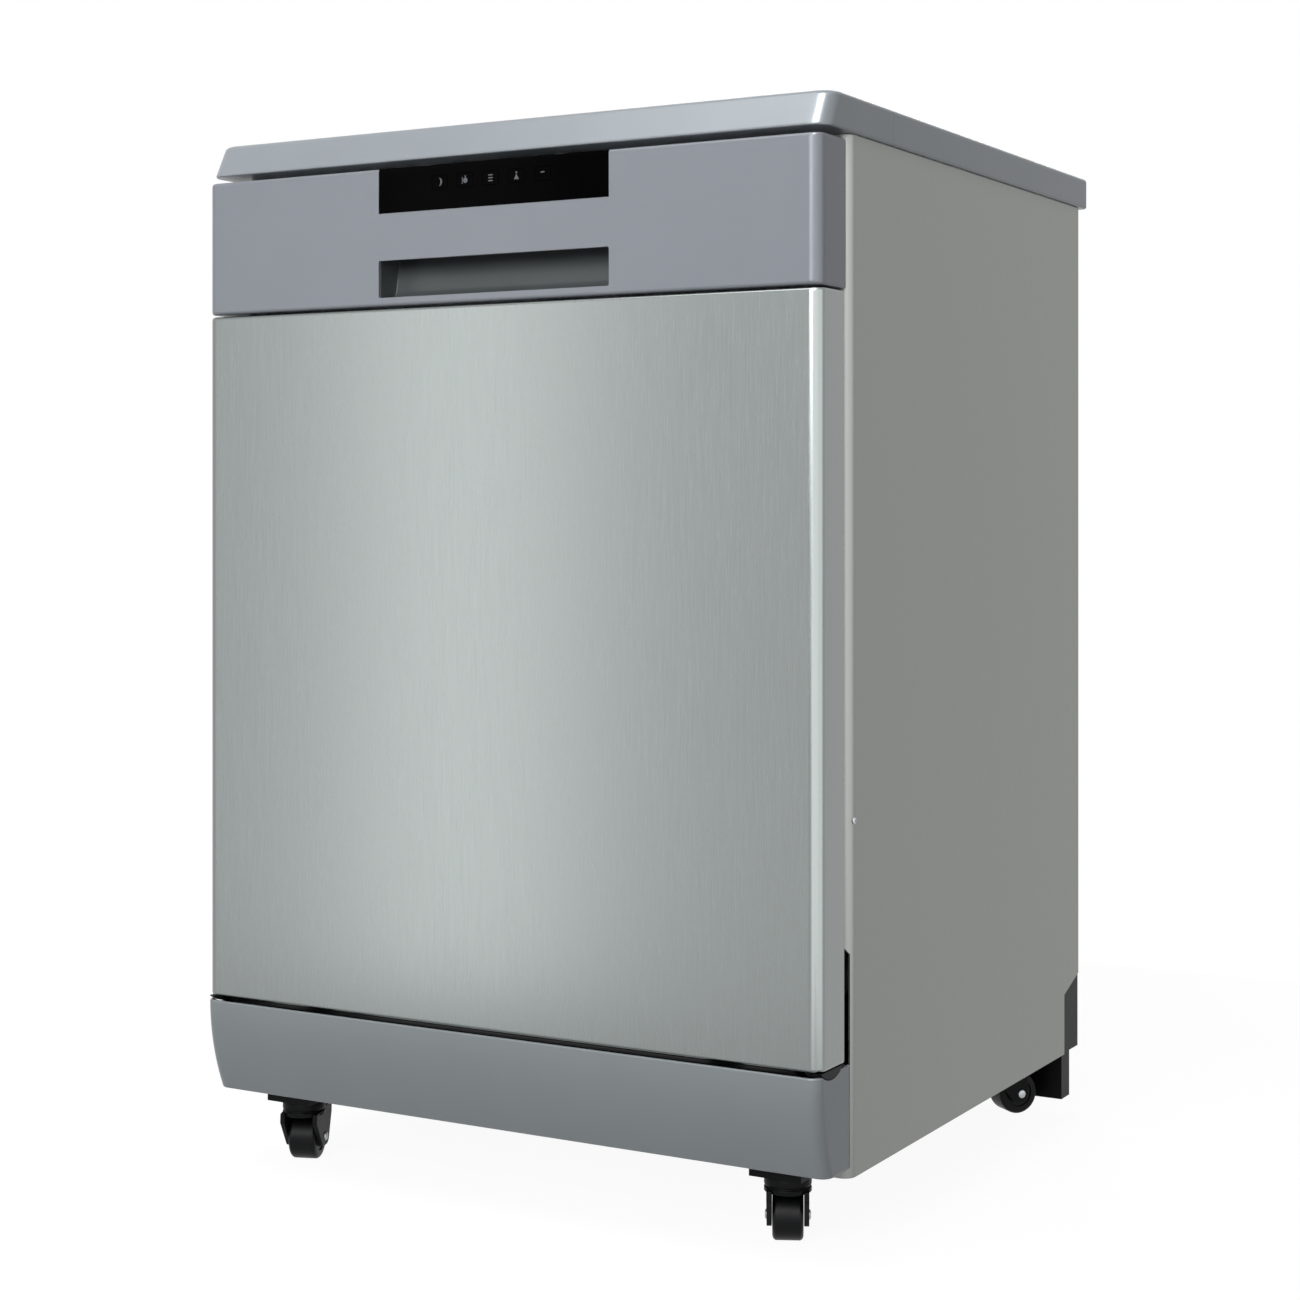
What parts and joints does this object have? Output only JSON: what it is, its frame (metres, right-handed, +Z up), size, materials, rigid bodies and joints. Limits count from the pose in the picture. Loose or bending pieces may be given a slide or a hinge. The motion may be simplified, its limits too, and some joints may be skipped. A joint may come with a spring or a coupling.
{
  "type": "portable dishwasher",
  "caption": "Freestanding portable dishwasher on swivel casters: drop-down steel door, scooped hand grip, key window, tub with sliding racks and spray arms.",
  "frame": {"origin": "on the floor, at the middle of the overall box's footprint", "axes": "+Z up; the door faces -Y; +X is to the right of someone facing the door"},
  "size_m": [0.604, 0.605, 0.905],
  "materials": {
    "stainless": "brushed stainless steel, upright grain",
    "painted_side": "satin warm-grey paint",
    "silver_plastic": "satin silver-grey paint on plastic",
    "worktop_frame": "fine-grained silver-grey plastic",
    "laminate": "grey laminate over board",
    "gloss_black": "polished black",
    "black_plastic": "moulded black plastic",
    "caster_tread": "hard black nylon tread",
    "galvanised": "galvanised sheet steel",
    "tub_steel": "bright stainless steel",
    "grey_plastic": "moulded light grey plastic",
    "white_plastic": "moulded off-white plastic",
    "rubber_seal": "soft black rubber",
    "coated_wire": "grey nylon-coated steel wire"
  },
  "bodies": {
    "cabinet": {"worktop_front_trim": "worktop_frame", "worktop_rear_frame": "worktop_frame", "worktop_board": "laminate", "side_panel_right": "painted_side", "side_panel_left": "painted_side", "back_panel": "galvanised", "front_crossbar": "galvanised", "kick_plate": "silver_plastic", "base_pan": "black_plastic", "base_rear_housing": "black_plastic", "inlet_valve": "white_plastic", "cord_gland": "black_plastic", "tub_wrapper": "tub_steel", "tub_back_wall": "tub_steel", "tub_floor": "tub_steel", "door_seal": "rubber_seal", "rail_right": "tub_steel", "rail_left": "tub_steel", "riser_duct": "grey_plastic", "sump": "grey_plastic", "wash_pump": "white_plastic", "drain_pump": "black_plastic", "air_break": "white_plastic"},
    "door": {"door_panel": "stainless", "control_panel": "silver_plastic", "handle_insert": "silver_plastic", "display_window": "gloss_black", "control_board": "black_plastic", "door_liner": "tub_steel", "door_latch": "black_plastic", "dispenser_body": "grey_plastic"},
    "key_1": {"key_1": "gloss_black"},
    "key_2": {"key_2": "gloss_black"},
    "key_3": {"key_3": "gloss_black"},
    "key_4": {"key_4": "gloss_black"},
    "key_5": {"key_5": "gloss_black"},
    "dispenser_lid": {"dispenser_lid": "white_plastic"},
    "upper_rack": {"upper_rack": "coated_wire", "rack_slide_right": "tub_steel", "rack_slide_left": "tub_steel", "upper_feed_duct": "grey_plastic"},
    "upper_spray_arm": {"upper_spray_arm": "grey_plastic"},
    "lower_rack": {"lower_rack": "coated_wire", "cutlery_basket": "grey_plastic"},
    "rack_wheel_front_left": {"rack_wheel_front_left": "grey_plastic"},
    "rack_wheel_front_right": {"rack_wheel_front_right": "grey_plastic"},
    "rack_wheel_rear_left": {"rack_wheel_rear_left": "grey_plastic"},
    "rack_wheel_rear_right": {"rack_wheel_rear_right": "grey_plastic"},
    "lower_spray_arm": {"lower_spray_arm": "grey_plastic"},
    "filter_cup": {"filter_cup": "grey_plastic"},
    "caster_fork_front_left": {"caster_fork_front_left": "black_plastic"},
    "caster_wheel_front_left": {"caster_wheel_front_left": "caster_tread"},
    "brake_pedal_front_left": {"brake_pedal_front_left": "black_plastic"},
    "caster_fork_front_right": {"caster_fork_front_right": "black_plastic"},
    "caster_wheel_front_right": {"caster_wheel_front_right": "caster_tread"},
    "brake_pedal_front_right": {"brake_pedal_front_right": "black_plastic"},
    "caster_fork_rear_left": {"caster_fork_rear_left": "black_plastic"},
    "caster_wheel_rear_left": {"caster_wheel_rear_left": "caster_tread"},
    "caster_fork_rear_right": {"caster_fork_rear_right": "black_plastic"},
    "caster_wheel_rear_right": {"caster_wheel_rear_right": "caster_tread"}
  },
  "joints": [
    {"name": "door_hinge", "type": "hinge", "parent": "cabinet", "child": "door", "pos_m": [0, -0.2775, 0.176], "axis": [1, 0, 0], "range_deg": [0, 90], "stiffness_Nm_per_rad": 14},
    {"name": "key_1_press", "type": "slide", "parent": "door", "child": "key_1", "axis": [0, 1, 0], "range_m": [0, 0.001], "stiffness_N_per_m": 800},
    {"name": "key_2_press", "type": "slide", "parent": "door", "child": "key_2", "axis": [0, 1, 0], "range_m": [0, 0.001], "stiffness_N_per_m": 800},
    {"name": "key_3_press", "type": "slide", "parent": "door", "child": "key_3", "axis": [0, 1, 0], "range_m": [0, 0.001], "stiffness_N_per_m": 800},
    {"name": "key_4_press", "type": "slide", "parent": "door", "child": "key_4", "axis": [0, 1, 0], "range_m": [0, 0.001], "stiffness_N_per_m": 800},
    {"name": "key_5_press", "type": "slide", "parent": "door", "child": "key_5", "axis": [0, 1, 0], "range_m": [0, 0.001], "stiffness_N_per_m": 800},
    {"name": "dispenser_lid_slide", "type": "slide", "parent": "door", "child": "dispenser_lid", "axis": [1, 0, 0], "range_m": [0, 0.06]},
    {"name": "upper_rack_slide", "type": "slide", "parent": "cabinet", "child": "upper_rack", "axis": [0, -1, 0], "range_m": [0, 0.44]},
    {"name": "upper_spray_arm_spin", "type": "hinge", "parent": "upper_rack", "child": "upper_spray_arm", "pos_m": [0, 0.0055, 0.49], "axis": [0, 0, 1], "continuous": true},
    {"name": "lower_rack_slide", "type": "slide", "parent": "cabinet", "child": "lower_rack", "axis": [0, -1, 0], "range_m": [0, 0.15]},
    {"name": "rack_wheel_front_left_roll", "type": "hinge", "parent": "lower_rack", "child": "rack_wheel_front_left", "pos_m": [-0.2455, -0.1095, 0.2193], "axis": [1, 0, 0], "range_deg": [0, 505]},
    {"name": "rack_wheel_front_right_roll", "type": "hinge", "parent": "lower_rack", "child": "rack_wheel_front_right", "pos_m": [0.2455, -0.1095, 0.2193], "axis": [1, 0, 0], "range_deg": [0, 505]},
    {"name": "rack_wheel_rear_left_roll", "type": "hinge", "parent": "lower_rack", "child": "rack_wheel_rear_left", "pos_m": [-0.2455, 0.1505, 0.2193], "axis": [1, 0, 0], "range_deg": [0, 505]},
    {"name": "rack_wheel_rear_right_roll", "type": "hinge", "parent": "lower_rack", "child": "rack_wheel_rear_right", "pos_m": [0.2455, 0.1505, 0.2193], "axis": [1, 0, 0], "range_deg": [0, 505]},
    {"name": "lower_spray_arm_spin", "type": "hinge", "parent": "cabinet", "child": "lower_spray_arm", "pos_m": [0, 0.0055, 0.212], "axis": [0, 0, 1], "continuous": true},
    {"name": "filter_cup_turn", "type": "hinge", "parent": "cabinet", "child": "filter_cup", "pos_m": [0, -0.0475, 0.15], "axis": [0, 0, 1], "range_deg": [0, 45]},
    {"name": "caster_swivel_front_left", "type": "hinge", "parent": "cabinet", "child": "caster_fork_front_left", "pos_m": [-0.241, -0.2365, 0.05], "axis": [0, 0, 1], "continuous": true},
    {"name": "caster_roll_front_left", "type": "hinge", "parent": "caster_fork_front_left", "child": "caster_wheel_front_left", "pos_m": [-0.24442, -0.2271, 0.02], "axis": [0.9397, 0.342, 0], "continuous": true},
    {"name": "brake_pedal_front_left_rock", "type": "hinge", "parent": "caster_fork_front_left", "child": "brake_pedal_front_left", "pos_m": [-0.24921, -0.21395, 0.044], "axis": [0.9397, 0.342, 0], "range_deg": [-18, 0]},
    {"name": "caster_swivel_front_right", "type": "hinge", "parent": "cabinet", "child": "caster_fork_front_right", "pos_m": [0.241, -0.2365, 0.05], "axis": [0, 0, 1], "continuous": true},
    {"name": "caster_roll_front_right", "type": "hinge", "parent": "caster_fork_front_right", "child": "caster_wheel_front_right", "pos_m": [0.23662, -0.22751, 0.02], "axis": [0.8988, 0.4384, 0], "continuous": true},
    {"name": "brake_pedal_front_right_rock", "type": "hinge", "parent": "caster_fork_front_right", "child": "brake_pedal_front_right", "pos_m": [0.23048, -0.21493, 0.044], "axis": [0.8988, 0.4384, 0], "range_deg": [-18, 0]},
    {"name": "caster_swivel_rear_left", "type": "hinge", "parent": "cabinet", "child": "caster_fork_rear_left", "pos_m": [-0.241, 0.2335, 0.05], "axis": [0, 0, 1], "continuous": true},
    {"name": "caster_roll_rear_left", "type": "hinge", "parent": "caster_fork_rear_left", "child": "caster_wheel_rear_left", "pos_m": [-0.24674, 0.24169, 0.02], "axis": [0.8192, 0.5736, 0], "continuous": true},
    {"name": "caster_swivel_rear_right", "type": "hinge", "parent": "cabinet", "child": "caster_fork_rear_right", "pos_m": [0.241, 0.2335, 0.05], "axis": [0, 0, 1], "continuous": true},
    {"name": "caster_roll_rear_right", "type": "hinge", "parent": "caster_fork_rear_right", "child": "caster_wheel_rear_right", "pos_m": [0.24716, 0.24138, 0.02], "axis": [0.788, -0.6157, 0], "continuous": true}
  ],
  "couplings": [
    {"joint": "upper_rack_slide", "follows": "door_hinge", "m_per_rad": 0.28},
    {"joint": "lower_rack_slide", "follows": "door_hinge", "m_per_rad": 0.095},
    {"joint": "rack_wheel_front_left_roll", "follows": "door_hinge", "ratio": 5.491},
    {"joint": "rack_wheel_front_right_roll", "follows": "door_hinge", "ratio": 5.491},
    {"joint": "rack_wheel_rear_left_roll", "follows": "door_hinge", "ratio": 5.491},
    {"joint": "rack_wheel_rear_right_roll", "follows": "door_hinge", "ratio": 5.491}
  ]
}
